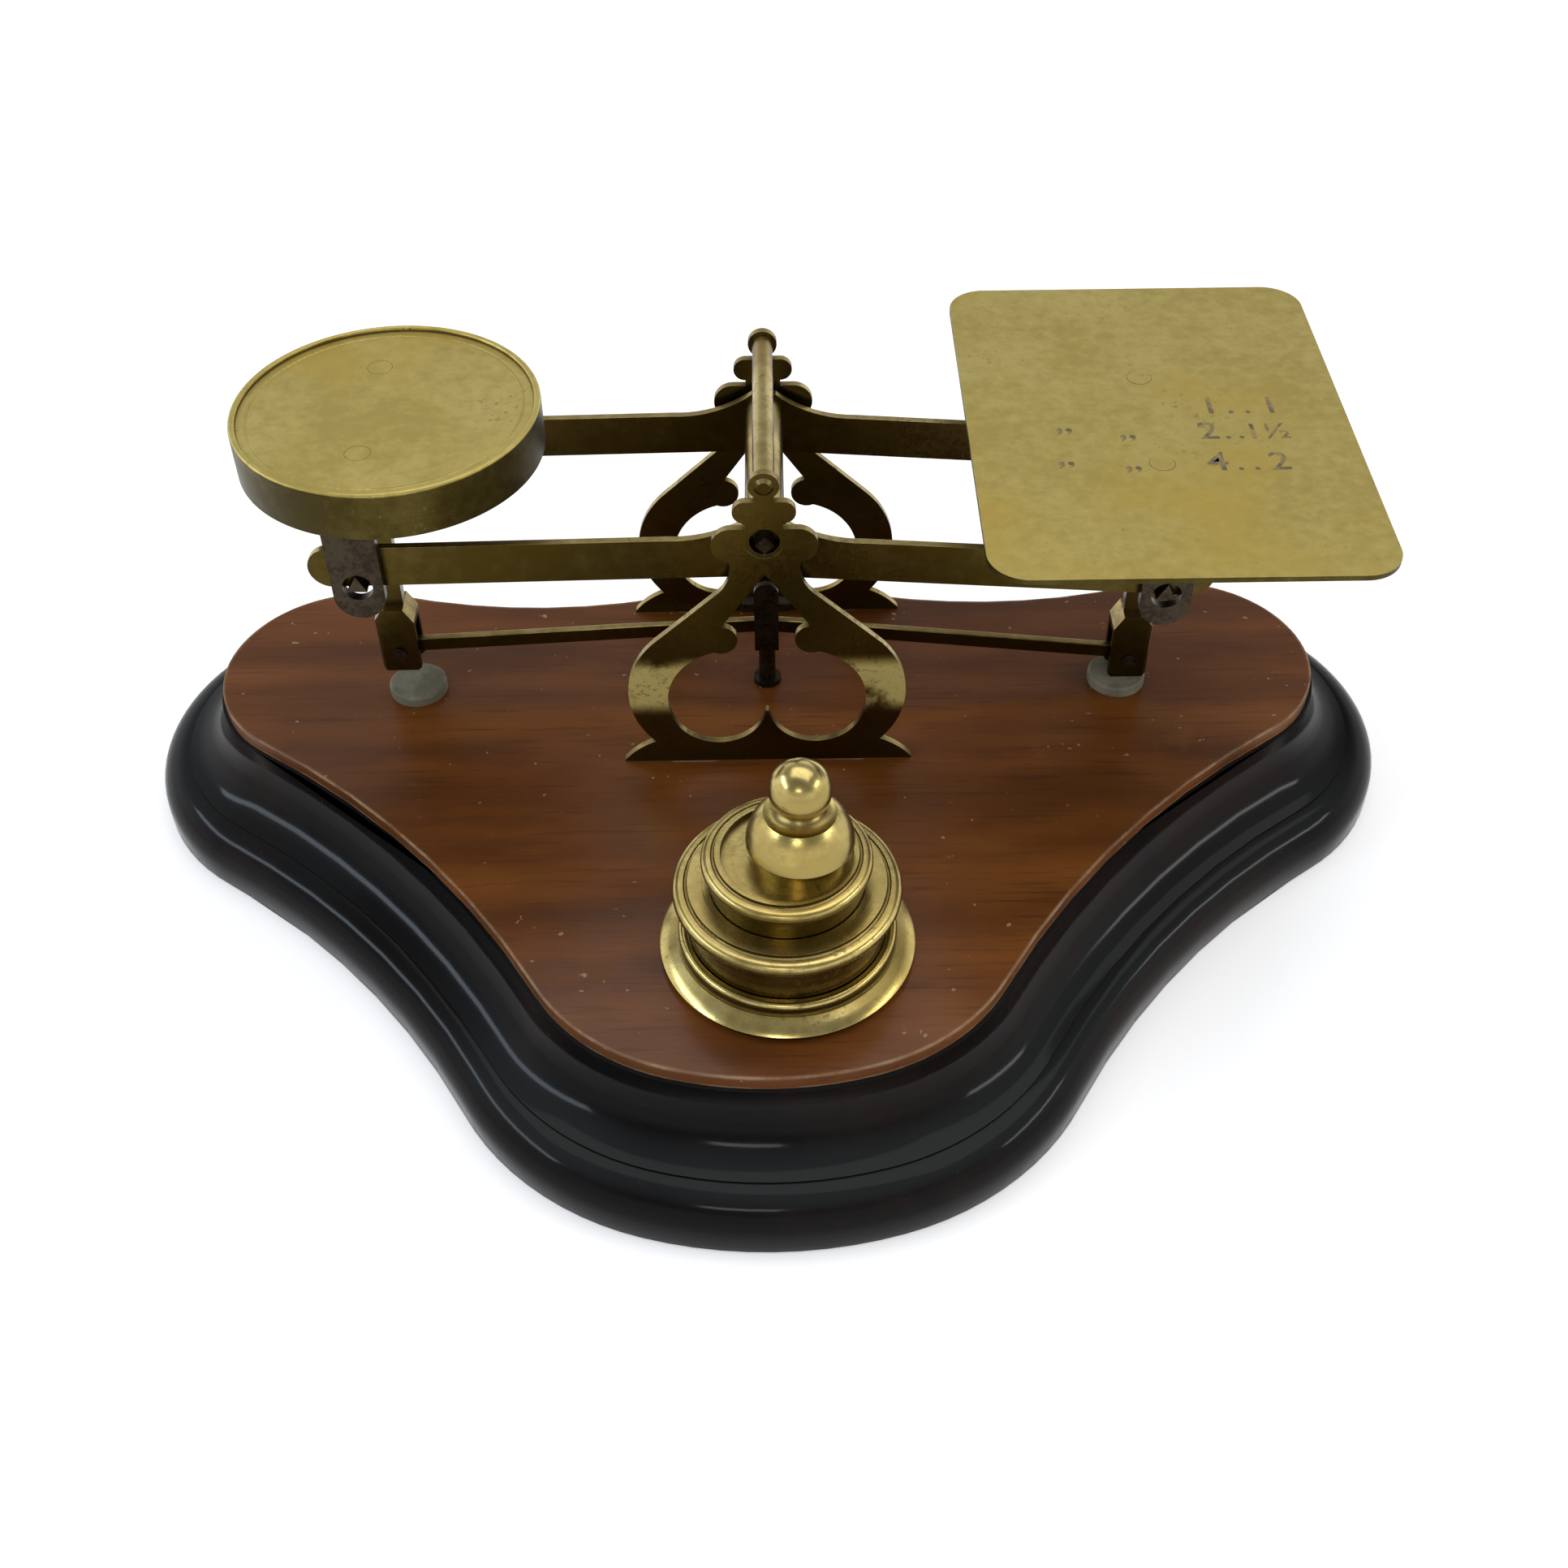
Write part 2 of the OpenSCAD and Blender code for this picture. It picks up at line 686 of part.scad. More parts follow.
// lowest weight: a stepped flange with a bead round its dish
flange_edge = [1.3, 0.5];
flange_step = [2.5, 2.2];
flange_top = 3.4;
bead1_r = 0.8;
module weight_foot() {
    r = weight_r;
    turned() difference() {
        union() {
            polygon([[0, 0], [r - flange_edge[0], 0], [r - flange_edge[1], flange_edge[1] / 2],
                     [r, flange_edge[0]], [r - flange_edge[1], flange_edge[0] + flange_edge[1]],
                     [r - flange_edge[0], flange_step[1]],
                     [r - flange_step[0], (flange_step[1] + flange_top) / 2],
                     [r - flange_step[0], flange_top], [0, flange_top]]);
            square([dish1_r + lip_w - bead1_r / 2, dish1_z + bead1_r - lap]);
            translate([dish1_r + lip_w - bead1_r / 2, dish1_z]) circle(r = bead1_r);
        }
        translate([0, dish1_z]) square([dish1_r, 2 * lip_w]);
    }
}
// middle weights: a drum under a wide rim with a rounded edge and a scribed line
module drum(foot_r, foot_z, rim_r, edge_r, rim_top, dish_r, dish_z) {
    difference() {
        union() {
            translate([0, foot_z]) square([foot_r - foot_play, rim_top - edge_r - foot_z]);
            translate([0, rim_top - 2 * edge_r]) square([rim_r - edge_r, 2 * edge_r]);
            translate([rim_r - edge_r, rim_top - edge_r]) circle(r = edge_r);
            translate([0, rim_top - edge_r]) square([rim_r - 2 * edge_r, edge_r + scribe_r]);
        }
        translate([rim_r - 2 * edge_r + scribe_r, rim_top]) circle(r = scribe_r);
        translate([0, dish_z]) square([dish_r, 2 * lip_w]);
    }
}
rim1_r = 16.6;
rim1_edge = 1.1;
rim1_top = 13.6;
rim2_r = 12.3;
rim2_edge = 1;
rim2_top = 19.4;
module weight_large() {
    turned() drum(dish1_r, dish1_z, rim1_r, rim1_edge, rim1_top, dish2_r, dish2_z);
}
module weight_small() {
    turned() drum(dish2_r, dish2_z, rim2_r, rim2_edge, rim2_top, dish3_r, dish3_z);
}
// top weight: a drum, a dome hollowed to a neck, and a ball
stub_r = 6.4;
dome_z = 22.3;
dome_r = 7.75;
dome_edge = 0.4;
gorge_c = [4.4, 29.6];
gorge_r = 2.1;
gorge_z = 27;
ball_r = 4.45;
ball_z = 31.9;
module weight_knob() {
    translate([knob_off, 0, 0]) turned() {
        translate([0, dish3_z]) square([stub_r, dome_z - dish3_z]);
        difference() {
            union() {
                translate([0, dome_z - dome_edge]) square([dome_r - dome_edge, 2 * dome_edge]);
                translate([dome_r - dome_edge, dome_z]) circle(r = dome_edge);
                intersection() {
                    translate([0, dome_z - dome_edge]) circle(r = dome_r);
                    translate([0, dome_z]) square(2 * dome_r);
                }
            }
            translate(gorge_c) circle(r = gorge_r);
        }
        translate([0, gorge_z]) square([gorge_c[0] - gorge_r, ball_z - gorge_z]);
        intersection() {
            translate([0, ball_z]) circle(r = ball_r);
            translate([0, gorge_z]) square(3 * ball_r);
        }
    }
}

plinth();
panel();
frame_front();
frame_rear();
tie_rod();
post();
post_pin();
buffer_left();
buffer_right();
beam_front();
beam_rear();
beam_sleeve();
middle_knife();
end_knives();
stay();
pan_yoke();
pan_bearings();
pan_pin();
pan();
pan_rivets();
plate_yoke();
plate_bearings();
plate_pin();
letter_plate();
plate_rivets();
weight_foot();
weight_large();
weight_small();
weight_knob();
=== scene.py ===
import math

import bpy
from mathutils import Euler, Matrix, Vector


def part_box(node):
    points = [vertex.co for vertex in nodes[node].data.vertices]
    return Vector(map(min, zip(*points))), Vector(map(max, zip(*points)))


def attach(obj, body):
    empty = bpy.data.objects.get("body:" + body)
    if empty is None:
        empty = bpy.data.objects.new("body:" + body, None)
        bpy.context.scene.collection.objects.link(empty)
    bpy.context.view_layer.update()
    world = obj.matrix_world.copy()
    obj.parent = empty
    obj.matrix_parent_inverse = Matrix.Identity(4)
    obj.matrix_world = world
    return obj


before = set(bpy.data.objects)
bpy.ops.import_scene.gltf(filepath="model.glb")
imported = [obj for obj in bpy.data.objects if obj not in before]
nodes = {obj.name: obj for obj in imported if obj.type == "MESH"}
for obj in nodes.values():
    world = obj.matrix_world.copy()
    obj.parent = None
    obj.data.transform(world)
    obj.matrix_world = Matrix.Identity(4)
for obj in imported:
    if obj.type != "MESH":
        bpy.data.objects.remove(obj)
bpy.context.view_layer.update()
mm = 0.001
print("frame loaded:", len(nodes), "nodes")


# Shader maths

class Wire:
    # one socket, so that masks and amounts can be written as plain expressions
    def __init__(self, finish, socket):
        self.finish = finish
        self.socket = socket

    def maths(self, operation, first, second):
        return self.finish.add("ShaderNodeMath", {"operation": operation}, {0: first, 1: second})

    def __add__(self, other):
        return self.maths("ADD", self, other)

    def __radd__(self, other):
        return self.maths("ADD", other, self)

    def __sub__(self, other):
        return self.maths("SUBTRACT", self, other)

    def __rsub__(self, other):
        return self.maths("SUBTRACT", other, self)

    def __mul__(self, other):
        return self.maths("MULTIPLY", self, other)

    def __rmul__(self, other):
        return self.maths("MULTIPLY", other, self)


class Finish:
    # the nodes of one material or of the world: add() makes any node, close() joins up the last
    def __init__(self, owner, place="Object", output="ShaderNodeOutputMaterial"):
        owner.use_nodes = True
        self.owner = owner
        self.output = output
        self.tree = owner.node_tree
        self.tree.nodes.clear()
        self.place = self.add("ShaderNodeTexCoord", {}, {}, place)

    def add(self, kind, settings, inputs, output=0):
        node = self.tree.nodes.new(kind)
        for key, value in settings.items():
            if key == "stops":
                self.setStops(node.color_ramp, value)
            else:
                setattr(node, key, value)
        for key, value in inputs.items():
            if isinstance(value, Wire):
                self.tree.links.new(value.socket, node.inputs[key])
            else:
                node.inputs[key].default_value = value
        return Wire(self, node.outputs[output])

    def setStops(self, ramp, stops):
        while len(ramp.elements) < len(stops):
            ramp.elements.new(0.5)
        for element, (position, colour) in zip(ramp.elements, stops):
            element.position = position
            element.color = (*colour, 1.0)

    def stretched(self, scale):
        return self.add("ShaderNodeVectorMath", {"operation": "MULTIPLY"}, {0: self.place, 1: scale})

    def noise(self, scale, detail=4.0, roughness=0.55, along=None):
        vector = self.stretched(along) if along else self.place
        return self.add("ShaderNodeTexNoise", {}, {"Vector": vector, "Scale": scale, "Detail": detail,
                                                   "Roughness": roughness})

    def band(self, value, low, high):
        # 0 below low, 1 above high, smooth between
        return self.add("ShaderNodeMapRange", {"interpolation_type": "SMOOTHSTEP"},
                        {"Value": value, "From Min": low, "From Max": high})

    def mix(self, amount, first, second):
        # the colour sockets of a Mix node are inputs 6 and 7 and output 2
        colours = {6: first if isinstance(first, Wire) else (*first, 1.0),
                   7: second if isinstance(second, Wire) else (*second, 1.0)}
        return self.add("ShaderNodeMix", {"data_type": "RGBA"}, {0: amount, **colours}, 2)

    def upward(self):
        # 1 on faces that look straight up, 0 on upright ones
        facing = self.add("ShaderNodeTexCoord", {}, {}, "Normal")
        return self.add("ShaderNodeSeparateXYZ", {}, {0: facing}, "Z")

    def openness(self, reach):
        # 1 in the open, lower in corners narrower than reach
        return self.add("ShaderNodeAmbientOcclusion", {"samples": 6, "only_local": True},
                        {"Distance": reach}, "AO")

    def rays(self, *kinds):
        # 1 for a ray of one of these kinds, 0 for any other
        found = 0.0
        for kind in kinds:
            ray = self.add("ShaderNodeLightPath", {}, {}, f"Is {kind} Ray")
            found = self.add("ShaderNodeMath", {"operation": "MAXIMUM"}, {0: found, 1: ray})
        return found

    def bump(self, height, depth, under=None):
        inputs = {"Height": height, "Distance": depth, "Strength": 1.0}
        if under:
            inputs["Normal"] = under
        return self.add("ShaderNodeBump", {}, inputs)

    def shade(self, **sockets):
        named = {key.replace("_", " "): value for key, value in sockets.items()}
        return self.close(self.add("ShaderNodeBsdfPrincipled", {}, named))

    def close(self, surface):
        node = self.tree.nodes.new(self.output)
        self.tree.links.new(surface.socket, node.inputs["Surface"])
        return self.owner


# Metals: noise scales are per metre, reaches and depths in millimetres

brassGrain = {"clouds": 55, "fine": 420, "specks": 900, "warmth": 32, "patches": 90, "scratches": 60,
              "scratchStretch": (1.0, 24.0, 24.0), "cornerReach": 2.2, "depth": 0.035,
              "ringsOut": 900, "ringsUp": 1300, "ringDepth": 0.02}
# uprightShade in each brass look is the painted shade colour of its upright faces
plateBrass = {"bright": (0.61, 0.50, 0.16), "patina": (0.46, 0.36, 0.10), "warm": (0.57, 0.41, 0.08),
              "stain": (0.22, 0.15, 0.05), "uprightShade": (0.052, 0.038, 0.009), "rough": 0.44,
              "spot": 0.60, "worn": None}
barBrass = {"bright": (0.58, 0.47, 0.19), "patina": (0.34, 0.25, 0.09), "warm": (0.45, 0.31, 0.08),
            "stain": (0.08, 0.05, 0.015), "uprightShade": (0.055, 0.036, 0.006), "rough": 0.30,
            "spot": 0.55, "worn": None}
# the frame's worn colour is a painted highlight on the front frame's legs, as well as wear
frameBrass = {"bright": (0.52, 0.43, 0.17), "patina": (0.30, 0.22, 0.08), "warm": (0.42, 0.29, 0.075),
              "stain": (0.07, 0.045, 0.015), "uprightShade": (0.085, 0.060, 0.013), "rough": 0.29,
              "spot": 0.52, "worn": (0.72, 0.61, 0.21)}
turnedBrass = {"bright": (0.76, 0.62, 0.24), "patina": (0.50, 0.38, 0.13), "warm": (0.66, 0.48, 0.13),
               "stain": (0.12, 0.08, 0.03), "uprightShade": (0.10, 0.066, 0.014), "rough": 0.25,
               "spot": 0.56, "worn": None}
# the knob's upright faces get a lighter painted shade
knobBrass = {**turnedBrass, "uprightShade": (0.36, 0.27, 0.085), "rough": 0.22}
# height band, edge softness and matt amount of the painted highlight on the front frame's legs
legGleam = {"bottom": 34.0, "top": 43.5, "soft": 1.6, "matt": 0.60}  # levels on the frame, in mm


def agedBrass(name, look, axis=None):
    finish = Finish(bpy.data.materials.new(name))
    clouds = finish.noise(brassGrain["clouds"], 5)
    fine = finish.noise(brassGrain["fine"], 4, 0.65)
    blotch = finish.band(clouds * 0.6 + fine * 0.4, 0.38, 0.64)
    specks = finish.noise(brassGrain["specks"], 3, 0.7)
    spots = finish.band(specks * 0.6 + clouds * 0.4, look["spot"], look["spot"] + 0.08)
    # darker and rougher towards corners and gaps narrower than cornerReach
    recessDark = 1 - finish.band(finish.openness(brassGrain["cornerReach"] * mm), 0.35, 0.9)
    height = finish.add("ShaderNodeSeparateXYZ", {}, {0: finish.place}, "Z")
    # painted light and shade: faces that look up are painted brighter and upright ones darker
    # (uprightShade), as light from above falls on them
    paintedTopLight = finish.band(finish.upward() + (clouds - 0.5) * 0.7 + (fine - 0.5) * 0.25, 0.22, 0.72)
    colour = finish.mix(blotch, look["patina"], look["bright"])
    warmth = finish.band(finish.noise(brassGrain["warmth"], 3), 0.48, 0.68)
    colour = finish.mix(warmth * 0.6, colour, look["warm"])
    dark = finish.mix(blotch * 0.10, look["uprightShade"], look["patina"])
    colour = finish.mix(paintedTopLight, dark, colour)
    metal = 1.0
    if look["worn"]:
        # painted highlight: in patches across the broad middle of the front frame's legs, worn brass is
        # painted brighter and less metallic, standing in for light caught there
        bottom, top, soft = (legGleam[key] * mm for key in ("bottom", "top", "soft"))
        above = finish.band(height, bottom - soft, bottom + soft)
        below = 1 - finish.band(height, top - soft, top + soft)
        patches = finish.band(finish.noise(brassGrain["patches"], 5, 0.6), 0.30, 0.46)
        paintedGleam = above * below * patches
        colour = finish.mix(paintedGleam, colour, look["worn"])
        metal = 1 - paintedGleam * legGleam["matt"]
    colour = finish.mix(spots * 0.55, colour, look["stain"])
    colour = finish.mix(recessDark * 0.8, colour, look["stain"])
    scratches = finish.noise(brassGrain["scratches"], 5, 0.7, brassGrain["scratchStretch"])
    rough = look["rough"] + (0.5 - blotch) * 0.10 + (fine - 0.5) * 0.20 + recessDark * 0.2 + spots * 0.1
    normal = finish.bump(fine * 0.4 + clouds * 0.3 + scratches * 0.3, brassGrain["depth"] * mm)
    if axis:
        # fine rings left by the lathe, about the piece's own upright axis
        offset = finish.add("ShaderNodeVectorMath", {"operation": "SUBTRACT"},
                            {0: finish.place, 1: axis})
        flat = finish.add("ShaderNodeVectorMath", {"operation": "MULTIPLY"},
                          {0: offset, 1: (1.0, 1.0, 0.0)})
        radius = finish.add("ShaderNodeVectorMath", {"operation": "LENGTH"}, {0: flat}, "Value")
        turns = radius * brassGrain["ringsOut"] + height * brassGrain["ringsUp"]
        rings = finish.add("ShaderNodeTexNoise", {"noise_dimensions": "1D"},
                           {"W": turns, "Scale": 1.0, "Detail": 4.0})
        normal = finish.bump(rings, brassGrain["ringDepth"] * mm, normal)
        rough = rough + (rings - 0.5) * 0.12
    return finish.shade(Base_Color=colour, Metallic=metal, Roughness=rough, Normal=normal)


steelLook = {"bright": (0.055, 0.040, 0.024), "dull": (0.024, 0.017, 0.010),
             "rust": (0.040, 0.019, 0.008), "clouds": 180, "fine": 1400, "cornerReach": 1.5,
             "depth": 0.03, "rough": 0.36, "metal": 0.9}


def dullSteel(name, look):
    finish = Finish(bpy.data.materials.new(name))
    clouds = finish.noise(look["clouds"], 5, 0.6)
    fine = finish.noise(look["fine"], 3, 0.6)
    corner = finish.openness(look["cornerReach"] * mm)
    rust = finish.band(clouds * 0.6 + (1 - corner) * 0.5, 0.42, 0.6)
    handled = finish.band(fine * 0.5 + clouds * 0.5, 0.4, 0.6)
    colour = finish.mix(handled, look["dull"], look["bright"])
    colour = finish.mix(rust * 0.6, colour, look["rust"])
    rough = look["rough"] + rust * 0.2 + (fine - 0.5) * 0.25
    normal = finish.bump(fine * 0.6 + clouds * 0.4, look["depth"] * mm)
    return finish.shade(Base_Color=colour, Metallic=look["metal"], Roughness=rough, Normal=normal)


# Wood and felt, with the grain of both woods along X

mahoganyLook = {"light": (0.25, 0.083, 0.016), "mid": (0.135, 0.041, 0.007),
                "dark": (0.055, 0.017, 0.004), "worn": (0.52, 0.37, 0.22),
                "warp": 14, "warpStretch": (1.0, 3.0, 1.0), "broad": 9,
                "broadStretch": (1.0, 9.0, 4.0), "pores": 60, "poreStretch": (1.0, 22.0, 22.0),
                "figure": 26.0, "figureStretch": (0.6, 1.0, 1.0), "chips": 130, "marks": 48,
                "flecks": 600, "edge": 0.9, "depth": 0.05, "rough": 0.30, "specular": 0.20,
                "coat": 0.26, "coatRough": 0.20}


def polishedMahogany(name, look):
    finish = Finish(bpy.data.materials.new(name))
    warp = finish.noise(look["warp"], 3, 0.5, look["warpStretch"])
    broad = finish.noise(look["broad"], 6, 0.6, look["broadStretch"])
    pores = finish.noise(look["pores"], 4, 0.7, look["poreStretch"])
    figure = finish.add("ShaderNodeTexWave", {"wave_type": "BANDS", "bands_direction": "Y"},
                        {"Vector": finish.stretched(look["figureStretch"]), "Scale": look["figure"],
                         "Distortion": 7.0, "Detail": 4.0, "Detail Scale": 1.6,
                         "Detail Roughness": 0.6})
    tone = broad * 0.55 + figure * 0.09 + warp * 0.36
    stops = [(0.29, look["dark"]), (0.49, look["mid"]), (0.76, look["light"])]
    colour = finish.add("ShaderNodeValToRGB", {"stops": stops}, {"Fac": tone})
    streak = finish.band(pores, 0.52, 0.70)
    colour = finish.mix(streak * 0.55, colour, look["dark"])
    # the sharp edge has lost its polish in places
    rounded = finish.add("ShaderNodeBevel", {"samples": 4}, {"Radius": look["edge"] * mm})
    facing = finish.add("ShaderNodeNewGeometry", {}, {}, "Normal")
    sharp = 1 - finish.add("ShaderNodeVectorMath", {"operation": "DOT_PRODUCT"},
                           {0: rounded, 1: facing}, "Value")
    chips = finish.band(finish.noise(look["chips"], 5, 0.7), 0.40, 0.62)
    edge = finish.band(sharp, 0.02, 0.16) * (0.35 + chips * 0.65)
    colour = finish.mix(edge, colour, look["worn"])
    marks = finish.band(finish.noise(look["marks"], 6, 0.75), 0.60, 0.72)
    colour = finish.mix(marks * 0.25, colour, look["light"])
    flecks = finish.band(finish.noise(look["flecks"], 2, 0.5), 0.725, 0.765)
    colour = finish.mix(flecks * 0.5, colour, look["worn"])
    rough = look["rough"] + marks * 0.22 + (pores - 0.5) * 0.15 + edge * 0.25
    normal = finish.bump(pores * 0.7 + broad * 0.3, look["depth"] * mm)
    coat = look["coat"] - marks * 0.12 - edge * 0.14
    return finish.shade(Base_Color=colour, Roughness=rough, Specular_IOR_Level=look["specular"],
                        Coat_Weight=coat, Coat_Roughness=look["coatRough"], Normal=normal)


blackLook = {"black": (0.004, 0.0035, 0.004), "brown": (0.012, 0.007, 0.005),
             "dust": (0.055, 0.052, 0.048), "dull": (0.017, 0.018, 0.018), "clouds": 22,
             "specks": 700, "grain": 70, "grainStretch": (1.0, 16.0, 16.0), "patches": 9,
             "depth": 0.10, "rough": 0.20, "specular": 0.02, "coat": 0.30, "coatRough": 0.10,
             "coatIor": 1.36}


def ebonised(name, look):
    finish = Finish(bpy.data.materials.new(name))
    clouds = finish.noise(look["clouds"], 5, 0.6)
    specks = finish.band(finish.noise(look["specks"], 4, 0.75), 0.66, 0.74)
    grain = finish.noise(look["grain"], 4, 0.65, look["grainStretch"])
    colour = finish.mix(finish.band(clouds, 0.45, 0.65), look["black"], look["brown"])
    # the flat, up-facing step of the moulding is painted charcoal in patches, partly dust and partly a
    # painted reflection of the ceiling; its upright faces stay black
    level = finish.band(finish.upward() + (clouds - 0.5) * 0.3, 0.62, 0.94)
    dustAndSheen = level * finish.band(finish.noise(look["patches"], 2), 0.38, 0.56)
    colour = finish.mix(dustAndSheen, colour, look["dull"])
    colour = finish.mix(specks * 0.5, colour, look["dust"])
    rough = look["rough"] + (clouds - 0.5) * 0.16 + specks * 0.3 + (grain - 0.5) * 0.12 + dustAndSheen * 0.15
    normal = finish.bump(grain * 0.5 + clouds * 0.5, look["depth"] * mm)
    coat = look["coat"] - specks * 0.15
    return finish.shade(Base_Color=colour, Roughness=rough, Specular_IOR_Level=look["specular"],
                        Coat_Weight=coat, Coat_Roughness=look["coatRough"], Coat_IOR=look["coatIor"],
                        Normal=normal)


feltLook = {"face": (0.155, 0.145, 0.095), "worn": (0.23, 0.21, 0.145), "edge": (0.07, 0.062, 0.042),
            "fibres": 1500, "clouds": 240, "depth": 0.12, "rough": 0.95}


def wornFelt(name, look):
    finish = Finish(bpy.data.materials.new(name))
    fibres = finish.noise(look["fibres"], 5, 0.75)
    clouds = finish.noise(look["clouds"], 4)
    colour = finish.mix(finish.band(clouds, 0.4, 0.62), look["face"], look["worn"])
    colour = finish.mix(finish.band(fibres, 0.55, 0.7) * 0.6, colour, look["edge"])
    normal = finish.bump(fibres, look["depth"] * mm)
    return finish.shade(Base_Color=colour, Roughness=look["rough"], Normal=normal)


def axisOf(name):
    return tuple(sum(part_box(name), Vector()) / 2)


finishes = {
    "plinth": ebonised("ebonisedWood", blackLook),
    "panel": polishedMahogany("mahogany", mahoganyLook),
    "frame": agedBrass("frameBrass", frameBrass),
    # the rear frame is the same brass without the painted highlight on its legs, so it stays darker
    "rearFrame": agedBrass("rearFrameBrass", {**frameBrass, "worn": None}),
    "bar": agedBrass("barBrass", barBrass),
    "plate": agedBrass("plateBrass", plateBrass),
    "pan": agedBrass("panBrass", plateBrass, axisOf("pan")),
    "weight": agedBrass("turnedBrass", turnedBrass, axisOf("weight_large")),
    "knob": agedBrass("knobBrass", knobBrass, axisOf("weight_knob")),
    "steel": dullSteel("dullSteel", steelLook),
    "felt": wornFelt("bufferFelt", feltLook),
}
finishOf = {
    "plinth": ["plinth"],
    "panel": ["panel"],
    "frame": ["frame_front"],
    "rearFrame": ["frame_rear"],
    "bar": ["tie_rod", "beam_front", "beam_rear", "beam_sleeve", "pan_yoke", "plate_yoke", "stay"],
    "plate": ["letter_plate", "plate_rivets", "pan_rivets"],
    "pan": ["pan"],
    "weight": ["weight_foot", "weight_large", "weight_small"],
    "knob": ["weight_knob"],
    "steel": ["post", "post_pin", "middle_knife", "end_knives", "pan_bearings", "pan_pin",
              "plate_bearings", "plate_pin"],
    "felt": ["buffer_left", "buffer_right"],
}
for finishName, names in finishOf.items():
    for name in names:
        nodes[name].data.materials.clear()
        nodes[name].data.materials.append(finishes[finishName])
print("finishes:", len(finishes))


# Soft edges: merges the import's split corners, smooths the curved faces and rounds the arrises

softening = {"mergeWithin": 0.002, "sharpFrom": 28, "roundFrom": 40, "segments": 2}
edgeRadius = {"panel": 0.35, "frame_front": 0.22, "frame_rear": 0.22, "beam_front": 0.2,
              "beam_rear": 0.2, "letter_plate": 0.25, "pan_yoke": 0.2, "plate_yoke": 0.2,
              "pan_bearings": 0.15, "plate_bearings": 0.15, "stay": 0.15, "post": 0.12,
              "tie_rod": 0.12, "weight_foot": 0.12, "weight_large": 0.12, "weight_small": 0.12,
              "weight_knob": 0.1}


def smoothingTree(look):
    tree = bpy.data.node_groups.new("smoothFaces", "GeometryNodeTree")
    for way in ("INPUT", "OUTPUT"):
        tree.interface.new_socket("Geometry", in_out=way, socket_type="NodeSocketGeometry")
    kinds = {"in": "NodeGroupInput", "merge": "GeometryNodeMergeByDistance",
             "faces": "GeometryNodeSetShadeSmooth", "edges": "GeometryNodeSetShadeSmooth",
             "angle": "GeometryNodeInputMeshEdgeAngle", "sharp": "FunctionNodeCompare",
             "out": "NodeGroupOutput"}
    made = {key: tree.nodes.new(kind) for key, kind in kinds.items()}
    made["merge"].inputs["Distance"].default_value = look["mergeWithin"] * mm
    made["edges"].domain = "EDGE"
    made["edges"].inputs["Shade Smooth"].default_value = False
    made["sharp"].operation = "GREATER_THAN"
    made["sharp"].inputs[1].default_value = math.radians(look["sharpFrom"])
    for start, end, socket in [("in", "merge", 0), ("merge", "faces", 0), ("faces", "edges", 0),
                               ("angle", "sharp", 0), ("sharp", "edges", 1), ("edges", "out", 0)]:
        tree.links.new(made[start].outputs[0], made[end].inputs[socket])
    return tree


smoothFaces = smoothingTree(softening)
for name, node in nodes.items():
    node.modifiers.new("smooth", "NODES").node_group = smoothFaces
    if name in edgeRadius:
        bevel = node.modifiers.new("arris", "BEVEL")
        bevel.width = edgeRadius[name] * mm
        bevel.segments = softening["segments"]
        bevel.limit_method = "ANGLE"
        bevel.angle_limit = math.radians(softening["roundFrom"])
        bevel.harden_normals = True
print("edges softened")


# Engraved figures on the letter plate, filled with old grime

engraving = {"sizePerHeight": 1.4, "depth": 0.02, "stroke": 0.05, "worn": (0.36, 0.28, 0.11),
             "recessDark": (0.12, 0.10, 0.065), "metal": 0.6, "rough": 0.55}
plateLow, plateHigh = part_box("letter_plate")
plateMiddle = (plateLow + plateHigh) / 2
# each mark, how far its foot stands from the plate's middle along X and Y, and its height, in mm
figureMarks = [
    ("1", 8.6, 1.3, 4.6), (".", 11.6, 1.3, 4.0), (".", 14.2, 1.3, 4.0), ("1", 17.9, 1.3, 4.6),
    ("2", 7.2, -5.5, 4.6), (".", 10.0, -5.5, 4.0), (".", 12.0, -5.5, 4.0), ("1½", 16.3, -5.5, 4.0),
    ("4", 7.2, -13.7, 4.8), (".", 10.4, -13.7, 4.0), (".", 12.8, -13.7, 4.0),
    ("2", 16.4, -13.7, 4.6), ("„", -14.6, -3.1, 4.6), ("„", -5.2, -5.1, 4.6),
    ("„", -15.3, -11.9, 4.6), ("„", -5.5, -13.3, 4.6),
]


def engravingFinish(look):
    finish = Finish(bpy.data.materials.new("engravingGrime"))
    worn = finish.band(finish.noise(brassGrain["fine"], 5, 0.7), 0.36, 0.62)
    colour = finish.mix(worn, look["recessDark"], look["worn"])
    return finish.shade(Base_Color=colour, Metallic=look["metal"], Roughness=look["rough"] + worn * 0.1)


grimeFinish = engravingFinish(engraving)
for number, (words, x, y, tall) in enumerate(figureMarks):
    curve = bpy.data.curves.new(f"figures{number}", "FONT")
    curve.body = words
    curve.size = tall * mm * engraving["sizePerHeight"]
    curve.align_x = "CENTER"
    curve.extrude = engraving["depth"] * mm / 2
    curve.offset = engraving["stroke"] * mm
    curve.materials.append(grimeFinish)
    figures = bpy.data.objects.new(f"engraved_mark_{number}", curve)
    figures.location = (plateMiddle.x + x * mm, plateMiddle.y + y * mm, plateHigh.z)
    bpy.context.scene.collection.objects.link(figures)
    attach(figures, "letter_carrier")
print("marks engraved:", len(figureMarks))


# Floor, light and camera

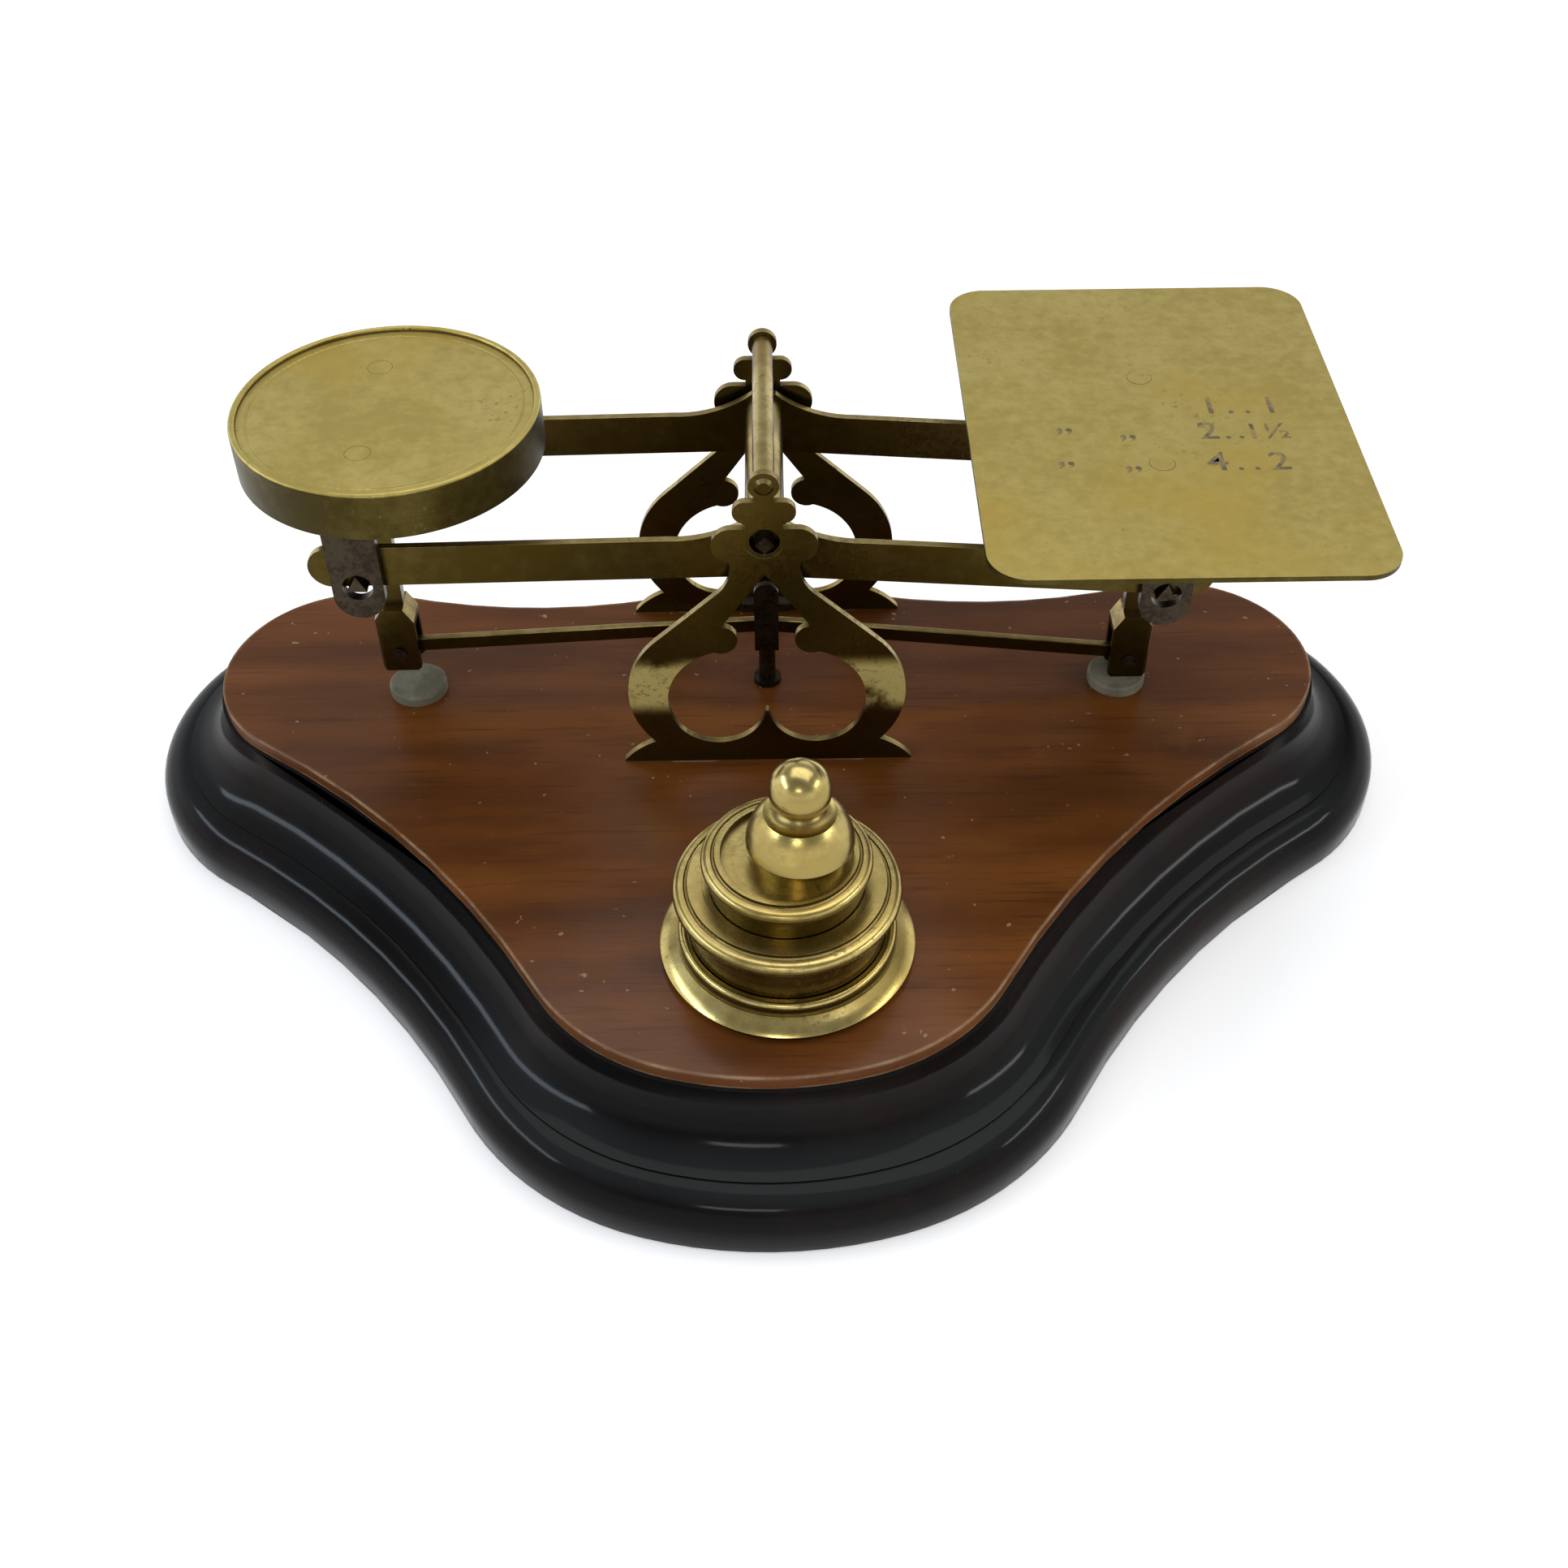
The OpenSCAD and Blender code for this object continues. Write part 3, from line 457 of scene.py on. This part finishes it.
white = (1.0, 1.0, 1.0)
floorLook = {"size": 6.0, "tones": ((0.86, 0.86, 0.86), (0.88, 0.88, 0.88)), "grain": 3.0,
             "glow": 0.42, "fadeFrom": 0.35, "fadeTo": 0.90}
skyLook = {"greys": [(0.30, 1.00), (0.55, 0.24)], "cool": 1.03, "backdrop": 0.30, "soft": 0.05}
lamps = {
    "key": {"place": (0.10, 0.32, 1.16), "size": (1.4, 0.9), "energy": 5.8, "colour": white},
    "leftStrip": {"place": (-0.95, -0.05, 0.70), "size": (0.9, 0.12), "energy": 3.6,
                  "colour": (0.74, 0.87, 1.0)},
    "rightStrip": {"place": (0.95, -0.15, 0.60), "size": (0.5, 0.08), "energy": 1.5, "colour": white},
    "frontSpot": {"place": (-0.12, -0.85, 0.75), "size": (0.30, 0.10), "energy": 0.8, "colour": white},
}
lampTarget = (0, 0, 0.03)


def whiteFloor(look):
    finish = Finish(bpy.data.materials.new("paleFloor"))
    grain = finish.add("ShaderNodeTexNoise", {}, {"Scale": look["grain"], "Detail": 2.0})
    paper = finish.add("ShaderNodeBsdfDiffuse", {}, {"Color": finish.mix(grain, *look["tones"])})
    glow = finish.add("ShaderNodeEmission", {}, {"Color": (*white, 1.0), "Strength": look["glow"]})
    lifted = finish.add("ShaderNodeAddShader", {}, {0: paper, 1: glow})
    # the floor runs out into plain white away from the object and its shadow
    plain = finish.add("ShaderNodeEmission", {}, {"Color": (*white, 1.0), "Strength": 1.0})
    distance = finish.add("ShaderNodeVectorMath", {"operation": "LENGTH"}, {0: finish.place}, "Value")
    away = finish.band(distance, look["fadeFrom"], look["fadeTo"])
    pale = finish.add("ShaderNodeMixShader", {}, {0: away, 1: lifted, 2: plain})
    # the eye, mirrors and glass see it pale, and it lights the object as plain paper
    seen = finish.rays("Camera", "Glossy", "Transmission")
    return finish.close(finish.add("ShaderNodeMixShader", {}, {0: seen, 1: paper, 2: pale}))


def addFloor(look):
    half = look["size"] / 2
    mesh = bpy.data.meshes.new("floor")
    mesh.from_pydata([(-half, -half, 0), (half, -half, 0), (half, half, 0), (-half, half, 0)], [],
                     [(0, 1, 2, 3)])
    mesh.materials.append(whiteFloor(look))
    floor = bpy.data.objects.new("floor", mesh)
    bpy.context.scene.collection.objects.link(floor)


def addSky(look):
    # the eye sees white all round, mirrors and glass see the white backdrop with a dim ceiling over it
    sky = Finish(bpy.data.worlds.new("studio"), "Generated", "ShaderNodeOutputWorld")
    height = sky.add("ShaderNodeSeparateXYZ", {}, {0: sky.place}, "Z")
    stops = [(level, (grey, grey, grey * look["cool"])) for level, grey in look["greys"]]
    tone = sky.add("ShaderNodeValToRGB", {"stops": stops}, {"Fac": height})
    room = sky.add("ShaderNodeBackground", {}, {"Color": tone})
    plain = sky.add("ShaderNodeBackground", {}, {"Color": (*white, 1.0)})
    backdrop = 1 - sky.band(height, look["backdrop"] - look["soft"], look["backdrop"])
    mirrored = sky.rays("Glossy", "Transmission") * backdrop
    seen = sky.add("ShaderNodeMath", {"operation": "MAXIMUM"}, {0: sky.rays("Camera"), 1: mirrored})
    chosen = sky.add("ShaderNodeMixShader", {}, {0: seen, 1: room, 2: plain})
    bpy.context.scene.world = sky.close(chosen)


def addLamp(name, look):
    lamp = bpy.data.lights.new(name, "AREA")
    lamp.shape = "RECTANGLE"
    lamp.size, lamp.size_y = look["size"]
    lamp.energy = look["energy"]
    lamp.color = look["colour"]
    stand = bpy.data.objects.new(name, lamp)
    stand.location = look["place"]
    aim = Vector(lampTarget) - Vector(look["place"])
    stand.rotation_euler = aim.to_track_quat("-Z", "Y").to_euler()
    bpy.context.scene.collection.objects.link(stand)


# place in millimetres, turns in degrees
cameraLook = {"place": (1.27, -211.53, 232.68), "pitch": 44.29, "yaw": -0.3266, "roll": -0.5844,
              "focalPixels": 2290.19, "imagePixels": 1932, "sensor": 36.0, "near": 0.01}


def addCamera(look):
    camera = bpy.data.cameras.new("camera")
    camera.sensor_width = look["sensor"]
    camera.lens = look["sensor"] * look["focalPixels"] / look["imagePixels"]
    camera.clip_start = look["near"]
    stand = bpy.data.objects.new("camera", camera)
    tilt = Euler((math.radians(90 - look["pitch"]), 0, 0)).to_matrix()
    turn = Euler((0, 0, math.radians(look["yaw"]))).to_matrix()
    roll = Euler((0, 0, math.radians(look["roll"]))).to_matrix()
    stand.rotation_euler = (turn @ tilt @ roll).to_euler()
    stand.location = Vector(look["place"]) * mm
    bpy.context.scene.collection.objects.link(stand)
    bpy.context.scene.camera = stand


addFloor(floorLook)
addSky(skyLook)
for name, look in lamps.items():
    addLamp(name, look)
addCamera(cameraLook)
bpy.context.scene.view_settings.view_transform = "Standard"
print("studio ready")
